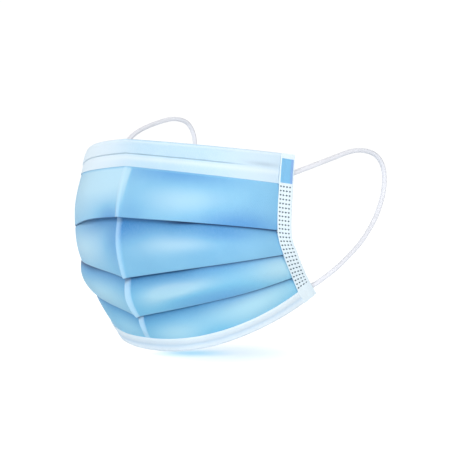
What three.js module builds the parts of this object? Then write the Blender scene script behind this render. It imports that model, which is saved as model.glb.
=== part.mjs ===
// Pleated disposable face mask, opened out to the form it has on a face.
// Millimetres, +Z up. The front looks along -Y and the wearer's left is +X.
// The origin is the nose seat: the middle of the top band's inner side.
import * as THREE from 'three';

// Cloth and its pleats
const WALL = 1.0; // the panel's plies together
const CLEARANCE = 0.3; // air between layers and between pieces
const PANEL_CUT_HEIGHT = 125; // height of the panel with its pleats pulled out
const TURN_RADIUS = (WALL + CLEARANCE) / 2; // middle of the wall round a pleat's edge
const LIP_DEPTH = TURN_RADIUS + WALL / 2; // from the wall's last straight point to the visible edge
const EMERGE_DEPTH = 1.5; // how far a panel stays straight below the pleat it comes out of
const SIDE_BULGE = 0.4; // swell of each panel at the side tapes
const CREASE_HEIGHT = 1.0; // ridge down the middle of the front
const CREASE_HALF_WIDTH = 2.0;

// Bands, tapes and loops
const BAND_WALL = 1.0;
const WIRE_RIDGE = 0.6; // the upper half of the top band stands proud over its wire
const TAPE_WIDTH = 9.0;
const TAPE_FRONT = 0.9; // the tape's outer face, from the middle of the panel's wall
const TAPE_BACK = 2.9; // its inner face, behind the stacked layers of the pleats
const TAPE_EDGE = 1.0; // rounding of the tape's free edge
const LOOP_DIAMETER = 2.5;
const LOOP_SIDES = 8;
const LOOP_STEP = 6.0;

// Plan of the front: a blunted ellipse from the middle out to the side tapes
const WRAP_ANGLE = THREE.MathUtils.degToRad(80);
const BLUNTNESS = 2 / 2.3;
const SEAM_FADE = 4; // how fast the side seam's curve dies out towards the middle
const CHEEK_PLACE = 1.3; // above 1 puts the fullest part of the cheeks nearer the side tapes
const HALF_STATIONS = 13;
const TAPE_STATIONS = 18;

// Each row is one line across the mask: its point on the middle, its end at the +X tape, how much of its
// change of height runs evenly across the front instead of gathering towards the side, and how far the
// cheek fills it out between the middle and the tape.
const LINES = {
  topEdge: { midY: -0.5, midZ: 6.5, sideX: 58.5, sideY: 46.8, sideZ: -0.5, even: 0.5, cheek: 0.0 },
  bandEdge: { midY: -0.5, midZ: -6.5, sideX: 61.0, sideY: 41.8, sideZ: -15.0, even: 0.5, cheek: 0.0 },
  upperPleat: { midY: -5.5, midZ: -31.5, sideX: 61.0, sideY: 40.8, sideZ: -37.5, even: 0.1, cheek: 1.0 },
  middlePleat: { midY: -0.5, midZ: -61.0, sideX: 60.5, sideY: 46.3, sideZ: -49.5, even: 0.85, cheek: 3.5 },
  lowerPleat: { midY: 8.0, midZ: -80.5, sideX: 57.5, sideY: 57.4, sideZ: -61.5, even: 0.6, cheek: 3.4 },
  chinEdge: { midY: 14.5, midZ: -91.5, sideX: 56.5, sideY: 63.2, sideZ: -68.5, even: 0.0, cheek: 0.0 },
  bottomEdge: { midY: 18.0, midZ: -98.0, sideX: 55.5, sideY: 69.8, sideZ: -74.5, even: 0.0, cheek: -1.0 },
};

// Each row is one panel between two lines: its swell on the middle, and whether it ends in a pleat.
const PANELS = [
  { from: 'topEdge', to: 'bandEdge', bulge: 0.0, flat: true, pleat: false },
  { from: 'bandEdge', to: 'upperPleat', bulge: 1.2, flat: false, pleat: true },
  { from: 'upperPleat', to: 'middlePleat', bulge: 2.6, flat: false, pleat: true },
  { from: 'middlePleat', to: 'lowerPleat', bulge: 3.0, flat: false, pleat: true },
  { from: 'lowerPleat', to: 'chinEdge', bulge: 1.2, flat: false, pleat: false },
  { from: 'chinEdge', to: 'bottomEdge', bulge: 0.0, flat: true, pleat: false },
];
const PANEL_STEPS = 4;
const CREASE_ANGLE = WRAP_ANGLE * (CREASE_HALF_WIDTH / LINES.upperPleat.sideX) ** (1 / BLUNTNESS);

// Ear loops, [x, y, z], from the weld on the upper part of the tape round to the lower one
const LEFT_LOOP_ROUTE = [
  [55.7, 44.5, -11.6], [56.4, 49.0, -11.2], [57.2, 53.5, -10.4], [58.5, 58.5, -9.3], [59.8, 65.0, -7.6],
  [61.0, 75.5, -4.9], [61.0, 88.5, -2.0], [61.0, 98.5, 0.2], [61.0, 108.7, 1.3], [61.0, 119.0, 0.4],
  [61.0, 126.6, -2.4], [61.0, 131.3, -7.2], [61.0, 133.0, -13.8], [61.0, 132.1, -20.6], [61.0, 129.0, -27.5],
  [61.0, 124.6, -34.1], [61.0, 118.7, -40.2], [61.0, 110.6, -46.8], [61.0, 100.9, -52.5], [60.4, 91.5, -57.9],
  [58.7, 84.1, -62.2], [56.5, 79.3, -65.2], [53.7, 76.0, -67.0], [51.8, 73.1, -68.3], [50.8, 70.1, -69.7],
  [50.4, 68.0, -70.8],
];
const RIGHT_LOOP_ROUTE = [
  [-55.6, 44.5, -11.6], [-55.5, 48.2, -9.6], [-55.0, 51.2, -6.5], [-54.6, 53.2, -2.6], [-55.0, 54.9, 1.3],
  [-56.1, 57.3, 5.2], [-57.2, 60.8, 7.9], [-58.0, 65.2, 10.3], [-59.0, 71.6, 12.9], [-60.0, 79.4, 15.2],
  [-60.7, 86.6, 17.0], [-61.0, 93.8, 18.6], [-61.0, 100.6, 19.5], [-61.0, 107.4, 19.0], [-61.0, 112.6, 17.2],
  [-61.0, 116.6, 13.2], [-61.0, 118.8, 7.4], [-61.0, 119.0, -1.0], [-61.0, 117.2, -11.0], [-61.0, 112.9, -21.4],
  [-61.0, 106.6, -32.4], [-60.9, 98.6, -43.4], [-60.0, 90.6, -53.2], [-58.4, 84.2, -60.0], [-56.5, 79.5, -64.2],
  [-53.7, 76.0, -67.0], [-51.8, 73.1, -68.3], [-50.8, 70.1, -69.7], [-50.4, 68.0, -70.8],
];

const COLOURS = { panel: 0x8cc4ec, band: 0xe4f3fc, tape: 0xeaf7fc, loop: 0xf3f3f8 };

function cloth(colour) {
  return new THREE.MeshStandardMaterial({ color: colour, roughness: 0.85, metalness: 0 });
}

// A line's point at a wrap angle, negative towards -X
function linePoint(line, angle) {
  const turn = Math.abs(angle);
  const across = (Math.sin(turn) / Math.sin(WRAP_ANGLE)) ** BLUNTNESS;
  const back = (1 - Math.cos(turn) ** BLUNTNESS) / (1 - Math.cos(WRAP_ANGLE) ** BLUNTNESS);
  const rise = THREE.MathUtils.lerp(back, across, line.even);
  const fullness = line.cheek * Math.sin(Math.PI * (turn / WRAP_ANGLE) ** CHEEK_PLACE) ** 2;
  return new THREE.Vector3(
    Math.sign(angle) * (line.sideX * across + fullness * Math.sin(turn)),
    THREE.MathUtils.lerp(line.midY, line.sideY, back) - fullness * Math.cos(turn),
    THREE.MathUtils.lerp(line.midZ, line.sideZ, rise),
  );
}

// The direction of a line across the mask, towards +X
function lineDirection(line, angle) {
  const step = 0.01;
  return linePoint(line, angle + step).sub(linePoint(line, angle - step)).normalize();
}

// The smooth seam down the panel's +X end, through the ends of all lines
const SEAM = new THREE.CatmullRomCurve3(Object.values(LINES).map((line) => linePoint(line, WRAP_ANGLE)));

// How far the seam bows away from the straight run between two lines, fading out towards the middle
function seamBow(panel, share, angle) {
  const index = PANELS.indexOf(panel);
  const lower = linePoint(LINES[panel.to], WRAP_ANGLE);
  const straight = linePoint(LINES[panel.from], WRAP_ANGLE).lerp(lower, share);
  const bow = SEAM.getPoint((index + share) / PANELS.length).sub(straight);
  bow.x *= Math.sign(angle);
  return bow.multiplyScalar((angle / WRAP_ANGLE) ** SEAM_FADE);
}

// How far the crease down the middle stands out
function creaseRise(angle) {
  return CREASE_HEIGHT * Math.max(0, 1 - Math.abs(angle) / CREASE_ANGLE);
}

// Point plus any number of [vector, length] steps
function shifted(point, ...steps) {
  const moved = point.clone();
  for (const [direction, length] of steps) {
    moved.addScaledVector(direction, length);
  }
  return moved;
}

// One panel at a station: chord, outward direction and swell, with points and directions along it
function panelProfile(panel, angle, start, end) {
  const chord = end.clone().sub(start);
  const length = chord.length();
  const down = chord.clone().normalize();
  const across = lineDirection(LINES[panel.from], angle).add(lineDirection(LINES[panel.to], angle));
  const out = down.clone().cross(across).normalize();
  const side = Math.abs(angle) / WRAP_ANGLE;
  const bulge = panel.flat ? 0 : THREE.MathUtils.lerp(panel.bulge, SIDE_BULGE, side ** 3);
  const ridge = creaseRise(angle);
  const slope = (share) => (bulge * 4 * (1 - 2 * share)) / length;
  return {
    length,
    point: (share) => shifted(start, [chord, share], [out, bulge * 4 * share * (1 - share) + ridge])
      .add(seamBow(panel, share, angle)),
    outward: (share) => shifted(out, [down, -slope(share)]).normalize(),
    downward: (share) => shifted(down, [out, slope(share)]).normalize(),
  };
}

// How deep each pleat tucks at a station, so that the cloth has the same height all across
function tuckDepth(angle) {
  const points = Object.values(LINES).map((line) => linePoint(line, angle));
  let shown = 0;
  for (let index = 1; index < points.length; index += 1) {
    shown += points[index].distanceTo(points[index - 1]);
  }
  const pleats = PANELS.filter((panel) => panel.pleat).length;
  return (PANEL_CUT_HEIGHT - shown) / (2 * pleats);
}

// The folded layers behind a panel's lower edge: round the lip, up, round the tuck and down again
function pleatPath(profile, tuck) {
  const shares = [1, 1 - tuck / (2 * profile.length), 1 - tuck / profile.length];
  const layer = (share, depth, facing) => ({
    point: shifted(profile.point(share), [profile.outward(share), -depth]),
    out: profile.outward(share).multiplyScalar(facing),
  });
  const turn = (share, depth, along) => {
    const down = profile.downward(share);
    const centre = shifted(profile.point(share), [profile.outward(share), -depth]);
    return { point: shifted(centre, [down, along * TURN_RADIUS]), out: down };
  };
  const top = shares[2];
  return [
    turn(1, TURN_RADIUS, 1),
    ...shares.map((share) => layer(share, 2 * TURN_RADIUS, -1)),
    turn(top, 3 * TURN_RADIUS, -1),
    ...shares.slice().reverse().map((share) => layer(share, 4 * TURN_RADIUS, 1)),
  ];
}

// The panel's wall at one station, from the top edge down to the bottom edge
function panelSection(angle) {
  const hem = BAND_WALL + CLEARANCE;
  const path = [];
  let start = linePoint(LINES.topEdge, angle);
  PANELS.forEach((panel, index) => {
    const line = linePoint(LINES[panel.to], angle);
    const fall = line.clone().sub(start).normalize();
    const last = index === PANELS.length - 1;
    const trim = panel.pleat ? LIP_DEPTH : last ? hem : 0;
    const end = shifted(line, [fall, -trim]);
    const first = index === 0 ? shifted(start, [fall, hem]) : start;
    const profile = panelProfile(panel, angle, first, end);
    const steps = panel.flat ? 1 : PANEL_STEPS;
    for (let step = 0; step <= steps; step += 1) {
      const share = step / steps;
      const entry = { point: profile.point(share), out: profile.outward(share) };
      const previous = path[path.length - 1];
      if (step === 0 && previous && !PANELS[index - 1].pleat) {
        previous.out.add(entry.out).normalize();
      } else {
        path.push(entry);
      }
    }
    start = end;
    if (panel.pleat) {
      path.push(...pleatPath(profile, tuckDepth(angle)));
      const hidden = path[path.length - 1];
      start = shifted(hidden.point, [profile.downward(1), EMERGE_DEPTH]);
    }
  });
  return path.map(({ point, out }) => ({
    outer: shifted(point, [out, WALL / 2]),
    inner: shifted(point, [out, -WALL / 2]),
  }));
}

// A band folded over an edge of the panel, from a list of [outer height, outer depth, inner height,
// inner depth]: heights stand out from the middle of the panel's wall, depths run in from the edge.
function bandSection(angle, edge, inward, pairs) {
  const rim = linePoint(LINES[edge], angle);
  const limit = linePoint(LINES[inward], angle);
  const run = limit.clone().sub(rim).normalize();
  const across = lineDirection(LINES[edge], angle).add(lineDirection(LINES[inward], angle));
  const out = run.clone().cross(across).normalize();
  if (edge === 'bottomEdge') {
    out.negate();
  }
  const place = (height, depth) => shifted(rim, [out, height + creaseRise(angle)], [run, depth]);
  return pairs(rim.distanceTo(limit)).map(([outHeight, outDepth, inHeight, inDepth]) => ({
    outer: place(outHeight, outDepth),
    inner: place(inHeight, inDepth),
  }));
}

const LEG_INNER = WALL / 2 + CLEARANCE;
const LEG_OUTER = LEG_INNER + BAND_WALL;
const CAP_END = -WALL / 2;

function topBandPairs(height) {
  const proud = LEG_OUTER + WIRE_RIDGE;
  const middle = height / 2;
  return [
    [CAP_END, 0, CAP_END, BAND_WALL],
    [LEG_INNER, 0, LEG_INNER, BAND_WALL],
    [proud, BAND_WALL, LEG_INNER, 2 * BAND_WALL],
    [proud, middle, LEG_INNER, middle],
    [LEG_OUTER, middle + WIRE_RIDGE, LEG_INNER, middle + WIRE_RIDGE],
    [LEG_OUTER, height, LEG_INNER, height],
  ];
}

function bottomBandPairs(height) {
  return [
    [LEG_OUTER, height, LEG_INNER, height],
    [LEG_OUTER, BAND_WALL, LEG_INNER, 2 * BAND_WALL],
    [LEG_INNER, 0, LEG_INNER, BAND_WALL],
    [CAP_END, 0, CAP_END, BAND_WALL],
  ];
}

// The welded tape at +X: rows up the panel's end, each across the tape from the panel to its free edge
function tapeSections() {
  const lines = Object.values(LINES);
  const backward = lines.map((line) => lineDirection(line, WRAP_ANGLE));
  const spread = new THREE.CatmullRomCurve3(backward);
  const far = CLEARANCE + TAPE_WIDTH;
  const profile = [[CLEARANCE, 0], [far - TAPE_EDGE, 0], [far, TAPE_EDGE]];
  const sections = [];
  for (let step = 0; step <= TAPE_STATIONS; step += 1) {
    const share = 1 - step / TAPE_STATIONS;
    const root = SEAM.getPoint(share);
    const across = spread.getPoint(share).normalize();
    const out = SEAM.getTangent(share).cross(across).normalize();
    sections.push(profile.map(([width, rounding]) => ({
      outer: shifted(root, [across, width], [out, TAPE_FRONT - rounding]),
      inner: shifted(root, [across, width], [out, rounding - TAPE_BACK]),
    })));
  }
  return sections;
}

// A closed body from rows of paired points, with its outer side on the left of each row
function clothBody(sections) {
  const rows = sections.length;
  const columns = sections[0].length;
  const positions = [];
  sections.forEach((section) => section.forEach(({ outer, inner }) => {
    positions.push(outer.x, outer.y, outer.z, inner.x, inner.y, inner.z);
  }));
  const outerAt = (row, column) => 2 * (row * columns + column);
  const innerAt = (row, column) => outerAt(row, column) + 1;
  const triangles = [];
  const quad = (a, b, c, d) => triangles.push(a, b, c, a, c, d);
  const lastRow = rows - 1;
  const lastColumn = columns - 1;
  for (let row = 0; row < lastRow; row += 1) {
    const next = row + 1;
    for (let column = 0; column < lastColumn; column += 1) {
      const below = column + 1;
      quad(outerAt(row, column), outerAt(row, below), outerAt(next, below), outerAt(next, column));
      quad(innerAt(row, column), innerAt(next, column), innerAt(next, below), innerAt(row, below));
    }
    quad(outerAt(row, 0), outerAt(next, 0), innerAt(next, 0), innerAt(row, 0));
    const [here, there] = [[row, lastColumn], [next, lastColumn]];
    quad(outerAt(...here), innerAt(...here), innerAt(...there), outerAt(...there));
  }
  for (let column = 0; column < lastColumn; column += 1) {
    const below = column + 1;
    quad(outerAt(0, column), innerAt(0, column), innerAt(0, below), outerAt(0, below));
    const [upper, lower] = [[lastRow, column], [lastRow, below]];
    quad(outerAt(...upper), outerAt(...lower), innerAt(...lower), innerAt(...upper));
  }
  const geometry = new THREE.BufferGeometry();
  geometry.setAttribute('position', new THREE.Float32BufferAttribute(positions, 3));
  geometry.setIndex(triangles);
  geometry.computeVertexNormals();
  return geometry;
}

// The same rows on the -X side
function mirrored(sections) {
  const flip = (point) => new THREE.Vector3(-point.x, point.y, point.z);
  return sections.map((section) => section.map(({ outer, inner }) => ({
    outer: flip(outer),
    inner: flip(inner),
  }))).reverse();
}

// Wrap angles of the stations, closer together over the middle crease
function stationAngles() {
  const half = [CREASE_ANGLE];
  for (let step = 1; step <= HALF_STATIONS; step += 1) {
    half.push((WRAP_ANGLE * step) / HALF_STATIONS);
  }
  return [...half.map((angle) => -angle).reverse(), 0, ...half];
}

function earLoop(route) {
  const path = new THREE.CatmullRomCurve3(route.map((place) => new THREE.Vector3(...place)));
  const radius = LOOP_DIAMETER / 2;
  const corners = [];
  for (let side = 0; side < LOOP_SIDES; side += 1) {
    const turn = (2 * Math.PI * side) / LOOP_SIDES;
    corners.push(new THREE.Vector2(radius * Math.cos(turn), radius * Math.sin(turn)));
  }
  const steps = Math.round(path.getLength() / LOOP_STEP);
  return new THREE.ExtrudeGeometry(new THREE.Shape(corners), { extrudePath: path, steps });
}

const mask = new THREE.Group();

function addPiece(name, geometry, colour) {
  const piece = new THREE.Mesh(geometry, cloth(colour));
  piece.name = name;
  mask.add(piece);
}

const angles = stationAngles();
const topBand = angles.map((angle) => bandSection(angle, 'topEdge', 'bandEdge', topBandPairs));
const bottomBand = angles.map((angle) => bandSection(angle, 'bottomEdge', 'chinEdge', bottomBandPairs));
const tape = tapeSections();

addPiece('pleated_panel', clothBody(angles.map(panelSection)), COLOURS.panel);
addPiece('top_band', clothBody(topBand), COLOURS.band);
addPiece('bottom_band', clothBody(bottomBand), COLOURS.band);
addPiece('left_side_tape', clothBody(tape), COLOURS.tape);
addPiece('right_side_tape', clothBody(mirrored(tape)), COLOURS.tape);
addPiece('left_ear_loop', earLoop(LEFT_LOOP_ROUTE), COLOURS.loop);
addPiece('right_ear_loop', earLoop(RIGHT_LOOP_ROUTE), COLOURS.loop);

export default mask;
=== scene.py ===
"""Looks of a pleated disposable face mask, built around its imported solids.

The frame is the part's own: +Z up, the front looks along -Y, the wearer's left is +X and the origin is
the nose seat. Shapes are worked out in millimetres and become metres where a mesh is made.
"""
import math
from collections import namedtuple

import bmesh
import bpy
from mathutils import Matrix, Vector, noise


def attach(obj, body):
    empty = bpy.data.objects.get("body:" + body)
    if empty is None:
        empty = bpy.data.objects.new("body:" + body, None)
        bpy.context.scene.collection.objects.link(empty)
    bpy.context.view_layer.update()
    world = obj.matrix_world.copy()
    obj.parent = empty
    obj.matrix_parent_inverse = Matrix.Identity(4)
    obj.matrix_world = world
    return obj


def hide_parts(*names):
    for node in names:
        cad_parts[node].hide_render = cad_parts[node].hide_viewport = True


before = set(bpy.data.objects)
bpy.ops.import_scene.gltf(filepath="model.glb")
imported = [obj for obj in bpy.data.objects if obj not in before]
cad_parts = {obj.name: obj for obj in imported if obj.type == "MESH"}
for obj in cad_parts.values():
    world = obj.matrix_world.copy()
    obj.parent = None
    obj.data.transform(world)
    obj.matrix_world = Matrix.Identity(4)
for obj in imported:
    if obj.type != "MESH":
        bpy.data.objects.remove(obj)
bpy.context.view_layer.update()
MM = 0.001

# Cloth of the pleated panel
PLY = 0.36  # outer cloth, filter and lining together
AIR = 0.04  # between the layers of a pleat
TURN = (PLY + AIR) / 2  # middle of the cloth round a pleat's edge
LIP = TURN + PLY / 2
EMERGE_MIDDLE = 1.2  # how far a panel stays straight below the pleat it comes out of
EMERGE_SIDE = 0.2
VALLEY_MIDDLE = 2.0  # extra room behind a pleat's lip beside the middle crease
VALLEY_SIDE = 0.1
CUT_HEIGHT = 125.0  # the panel with its pleats pulled out
SIDE_BULGE = 0.4
CREASE_HEIGHT = 0.9
CREASE_HALF_WIDTH = 1.5
CREASE_LEAN = (4.2, 1.8)  # how far the painted highlight on the -X side of the first panel reaches past its crease, top and lip
KEEL_HEIGHT = 1.6  # the front comes to a soft keel along the crease
KEEL_HALF_WIDTH = 16.0
WAVE = 0.45  # soft dents of the loose cloth
PUFF = 0.75  # how far the cloth below a pleat swells out again towards the cheeks
PUFF_ONSET = 0.4
STEP_CROWDING = 1.3  # steps stand closer below a pleat
NO_PLEAT_ABOVE = 99.0
TUCK_SHADE = (1.0, 0.75)  # strength of the shade below a pleat on the middle and at the sides
TUCK_REACH = (6.2, 2.6)  # how far that shade reaches down, likewise
LINE_WIDTH = 0.8  # painted shadow line under a pleat's lip
LINE_MIDDLE = 0.35  # how strong that line is on the middle, below the first pleat and below the others
LOWER_LINE_MIDDLE = 0.7
LOWER_LINE_WIDENING = (1.25, 2.2)  # below the other pleats, at the +X side and at the -X one
FIRST_PLEAT_CLEARING = 0.75  # how much fainter the first pleat's shade is at the -X side

# Plan of the front: a blunted ellipse from the middle out to the side tapes
WRAP = math.radians(80)
CHEEK = math.radians(45)  # where the cheeks are fullest
CHEEK_PLACE = 1.3  # moves the fullest place away from the middle
SAG_FADE = math.radians(27)  # beyond it the sag at the -X cheek dies out
BLUNTNESS = 2 / 2.3
SEAM_FADE = 4  # how quickly the side seam's bow dies out towards the middle
HALF_STATIONS = 84
STATION_CROWDING = 1.25

# Bands, tapes and loops
BAND_PLY = 0.34
BAND_LIFT = PLY / 2 + BAND_PLY / 2 + 0.05
BAND_INSIDE = 6.0  # how far each band reaches down the inner side
WIRE_LIFT = 0.42
WIRE_HALF = 66.0  # half the length of the wire sealed in the top band
WIRE_TAPER = (-14, 3)  # from and to, about the wire's end, where its ridge dies out
WIRE_END_SHADE = (8, 9)  # faint painted shade beyond the wire's end: its middle and its spread
GROOVE = (0.3, 0.3, 0.15)  # painted shadow line under the wire, in a shallow groove: its place below the band's middle, its spread and its depth
BAND_STEPS = (60, 24)  # down the outer side of the top band and of the bottom one
INSIDE_STEPS = 6
CHIN_PUFF = 0.3  # how far the bottom band swells beside its fold
TAPE_WIDTH = 9.0
TAPE_OVERLAP = 1.2  # how far the tape laps over the panel's end
TAPE_LAP = 0.35  # thickness of the edge that laps over the panel
TAPE_FRONT = 0.7
TAPE_BACK = 1.8
DOT_PITCH = (2.14, 2.02)  # across and down the tape, as in the next lines
DOT_START = (0.05, 15.7)
DOT_COUNT = (4, 26)
DOT_RADII = (0.74, 0.44)
DOT_DEPTH = 0.2
TAB_CORNERS = (-0.7, 2.5, 7.9, 14.0)  # blue tab at the tape's upper end: across and down, from and to
LOOP_RADIUS = 1.25
LOOP_WALES = 10
LOOP_RIB = 0.006
SEAT_REACH = ((4.0, 20.0), (2.0, 18.0))  # how far from its upper and lower end a cord comes off its seat
FLAT_REACH = (7.0, 13.0)  # how far from both ends it is pressed flat
FLAT_SECTION = (0.62, 1.3)  # thickness and width there, as shares
ROUTE_STEPS = 2000
SHADED_WAY = Vector((0.22, 0.95, 0.2))  # painted shade: the loops are greyer on their side facing this way
SHADED_REACH = (0.22, 0.72)

# One row for each line across the mask: its point on the middle, its end at the +X tape, how much of its
# change of height runs evenly across the front, how far the cheek fills it out, its sag at the -X cheek and
# how late that sag sets in.
Line = namedtuple("Line", "mid_y mid_z side_x side_y side_z even cheek sag late")
TOP_EDGE = Line(-0.5, 6.5, 58.5, 46.8, -0.5, 0.5, 0.0, 6.3, 3.6)
BAND_EDGE = Line(-0.5, -6.5, 61.0, 41.8, -15.0, 0.5, 0.0, 0.0, 1.8)
UPPER_PLEAT = Line(-5.5, -31.5, 61.0, 40.8, -37.5, 0.1, 1.0, 5.3, 1.8)
MIDDLE_PLEAT = Line(-0.5, -61.0, 60.5, 46.3, -49.5, 0.85, 1.8, 2.6, 1.8)
LOWER_PLEAT = Line(8.0, -80.5, 57.5, 57.4, -61.5, 0.6, 3.4, 2.7, 1.8)
CHIN_EDGE = Line(14.5, -91.5, 56.5, 63.2, -68.5, 0.0, 0.0, 0.0, 1.8)
BOTTOM_EDGE = Line(18.0, -98.0, 55.5, 69.8, -74.5, 0.0, -1.0, 0.0, 1.8)
LINES = (TOP_EDGE, BAND_EDGE, UPPER_PLEAT, MIDDLE_PLEAT, LOWER_PLEAT, CHIN_EDGE, BOTTOM_EDGE)

# One row for each panel between two lines: its swell on the middle and at the -X cheek, its share of the keel
# at the upper and the lower line, whether it ends in a pleat, and its steps.
Panel = namedtuple("Panel", "upper lower bulge cheek_bulge keel_above keel_below pleat steps")
PANELS = (
    Panel(TOP_EDGE, BAND_EDGE, 0.0, 0.0, 0.0, 0.0, False, 4),
    Panel(BAND_EDGE, UPPER_PLEAT, 1.2, 1.2, 0.0, 1.0, True, 18),
    Panel(UPPER_PLEAT, MIDDLE_PLEAT, 2.6, 1.0, 1.0, 1.0, True, 26),
    Panel(MIDDLE_PLEAT, LOWER_PLEAT, 3.0, 3.6, 1.0, 0.8, True, 22),
    Panel(LOWER_PLEAT, CHIN_EDGE, 1.2, 1.2, 0.8, 0.0, False, 16),
    Panel(CHIN_EDGE, BOTTOM_EDGE, 0.0, 0.0, 0.0, 0.0, False, 4),
)

# Where a panel's cloth gets a painted highlight, or painted shade below 0: the panel's place in PANELS, the
# middle of the spot in millimetres across and from 0 to 1 down, its spread both ways, and how much.
PaintedSpot = namedtuple("PaintedSpot", "panel across down across_spread down_spread strength")
PAINTED_HIGHLIGHTS_AND_SHADE = (
    PaintedSpot(1, 36, 0.60, 21, 0.32, 0.7),
    PaintedSpot(1, 30, 0.00, 28, 0.28, -0.85),
    PaintedSpot(1, 62, 1.00, 24, 0.36, -1.0),
    PaintedSpot(1, 8, 0.95, 9, 0.40, -0.35),
    PaintedSpot(1, -34, 0.30, 26, 0.60, 0.85),
    PaintedSpot(1, -2, 0.20, 24, 0.50, 0.9),
    PaintedSpot(1, -6, 1.00, 10, 0.26, -0.9),
    PaintedSpot(2, 34, 0.44, 22, 0.17, 0.9),
    PaintedSpot(2, 54, 0.25, 15, 0.32, -0.75),
    PaintedSpot(2, 4, 0.12, 12, 0.28, -0.8),
    PaintedSpot(2, -32, 0.55, 20, 0.42, 1.0),
    PaintedSpot(2, -4, 0.35, 8, 0.45, -0.65),
    PaintedSpot(3, 26, 0.46, 11, 0.18, 1.5),
    PaintedSpot(3, 14, 0.56, 9, 0.26, 0.65),
    PaintedSpot(3, 40, 0.42, 10, 0.20, 0.5),
    PaintedSpot(3, 48, 0.95, 24, 0.34, -0.6),
    PaintedSpot(3, 80, 0.45, 18, 0.50, 0.95),
    PaintedSpot(3, -22, 0.60, 20, 0.40, 0.85),
    PaintedSpot(4, 60, 0.40, 24, 0.60, 0.95),
    PaintedSpot(4, 20, 0.80, 14, 0.34, 0.8),
    PaintedSpot(4, 42, 1.00, 10, 0.30, -0.3),
    PaintedSpot(4, -12, 0.70, 14, 0.40, 0.5),
)

# Ear loops from the weld on the upper part of the tape round to the lower one
LEFT_LOOP_ROUTE = (
    (55.7, 44.5, -11.6), (56.4, 49.0, -11.2), (57.2, 53.5, -10.4), (58.5, 58.5, -9.3),
    (59.8, 65.0, -7.6), (61.0, 75.5, -4.9), (61.0, 88.5, -2.0), (61.0, 98.5, 0.2),
    (61.0, 108.7, 1.3), (61.0, 119.0, 0.4), (61.0, 126.6, -2.4), (61.0, 131.3, -7.2),
    (61.0, 133.0, -13.8), (61.0, 132.1, -20.6), (61.0, 129.0, -27.5), (61.0, 124.6, -34.1),
    (61.0, 118.7, -40.2), (61.0, 110.6, -46.8), (61.0, 100.9, -52.5), (60.4, 91.5, -57.9),
    (58.7, 84.1, -62.2), (56.5, 79.3, -65.2), (53.7, 76.0, -67.0), (51.8, 73.1, -68.3),
    (50.8, 70.1, -69.7), (50.4, 68.0, -70.8),
)
RIGHT_LOOP_ROUTE = (
    (-55.6, 44.5, -11.6), (-55.5, 48.2, -9.6), (-55.0, 51.2, -6.5), (-54.6, 53.2, -2.6),
    (-55.0, 54.9, 1.3), (-56.1, 57.3, 5.2), (-57.2, 60.8, 7.9), (-58.0, 65.2, 10.3),
    (-59.0, 71.6, 12.9), (-60.0, 79.4, 15.2), (-60.7, 86.6, 17.0), (-61.0, 93.8, 18.6),
    (-61.0, 100.6, 19.5), (-61.0, 107.4, 19.0), (-61.0, 112.6, 17.2), (-61.0, 116.6, 13.2),
    (-61.0, 118.8, 7.4), (-61.0, 119.0, -1.0), (-61.0, 117.2, -11.0), (-61.0, 112.9, -21.4),
    (-61.0, 106.6, -32.4), (-60.9, 98.6, -43.4), (-60.0, 90.6, -53.2), (-58.4, 84.2, -60.0),
    (-56.5, 79.5, -64.2), (-53.7, 76.0, -67.0), (-51.8, 73.1, -68.3), (-50.8, 70.1, -69.7),
    (-50.4, 68.0, -70.8),
)

# Camera and stage
CAMERA_PLACE = Vector((0.4437, -0.4551, -0.0019))
CAMERA_TARGET = Vector((0.01683, 0.05362, -0.03675))
CAMERA_LENS = 104.6
FLOOR_LEVEL = -0.0989
SHADOW_ALONG = Vector((0.766, 0.643, 0.0))  # level, across the view
SHADOW_ACROSS = Vector((-0.643, 0.766, 0.0))
CONTACT_SHADOWS = (  # middle, half length, half width and tint of each soft shadow under the chin
    ((0.0330, 0.0380, 0.0), 0.060, 0.056, (0.56, 0.67, 0.76, 1)),
    ((0.0193, 0.0253, 0.0), 0.026, 0.017, (0.22, 0.52, 0.72, 1)),
)


def mix(a, b, share):
    return a + (b - a) * share


def smooth(low, high, value):
    """0 at low and 1 at high, with a soft ramp between and nothing beyond."""
    share = min(1.0, max(0.0, (value - low) / (high - low)))
    return share * share * (3 - 2 * share)


# Lines across the mask
def line_point(line, angle):
    """A line's point at a wrap angle, negative towards -X."""
    turn = abs(angle)
    across = (math.sin(turn) / math.sin(WRAP)) ** BLUNTNESS
    back = (1 - math.cos(turn) ** BLUNTNESS) / (1 - math.cos(WRAP) ** BLUNTNESS)
    fullness = line.cheek * math.sin(math.pi * (turn / WRAP) ** CHEEK_PLACE) ** 2
    sag = 0.0
    if angle < 0:
        sag = line.sag * (turn / CHEEK) ** line.late * (1 - smooth(SAG_FADE, WRAP, turn))
    return Vector((
        math.copysign(line.side_x * across + fullness * math.sin(turn), angle),
        mix(line.mid_y, line.side_y, back) - fullness * math.cos(turn),
        mix(line.mid_z, line.side_z, mix(back, across, line.even)) - sag,
    ))


def line_direction(line, angle, step=0.01):
    """The direction of a line across the mask, towards +X."""
    return (line_point(line, angle + step) - line_point(line, angle - step)).normalized()


def curve_point(points, place):
    """A smooth curve through points, at a place from 0 to 1 with equal shares between neighbours."""
    position = min(max(place, 0.0), 1.0) * (len(points) - 1)
    index = min(int(position), len(points) - 2)
    share = position - index
    here, there = points[index], points[index + 1]
    before = points[index - 1] if index else here * 2 - there
    after = points[index + 2] if index + 2 < len(points) else there * 2 - here
    start, end = (there - before) / 2, (after - here) / 2
    cube, square = share ** 3, share ** 2
    return (here * (2 * cube - 3 * square + 1) + start * (cube - 2 * square + share)
            + there * (3 * square - 2 * cube) + end * (cube - square))


SEAM_ENDS = [line_point(line, WRAP) for line in LINES]
SEAM_SPREAD = [line_direction(line, WRAP) for line in LINES]


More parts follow.
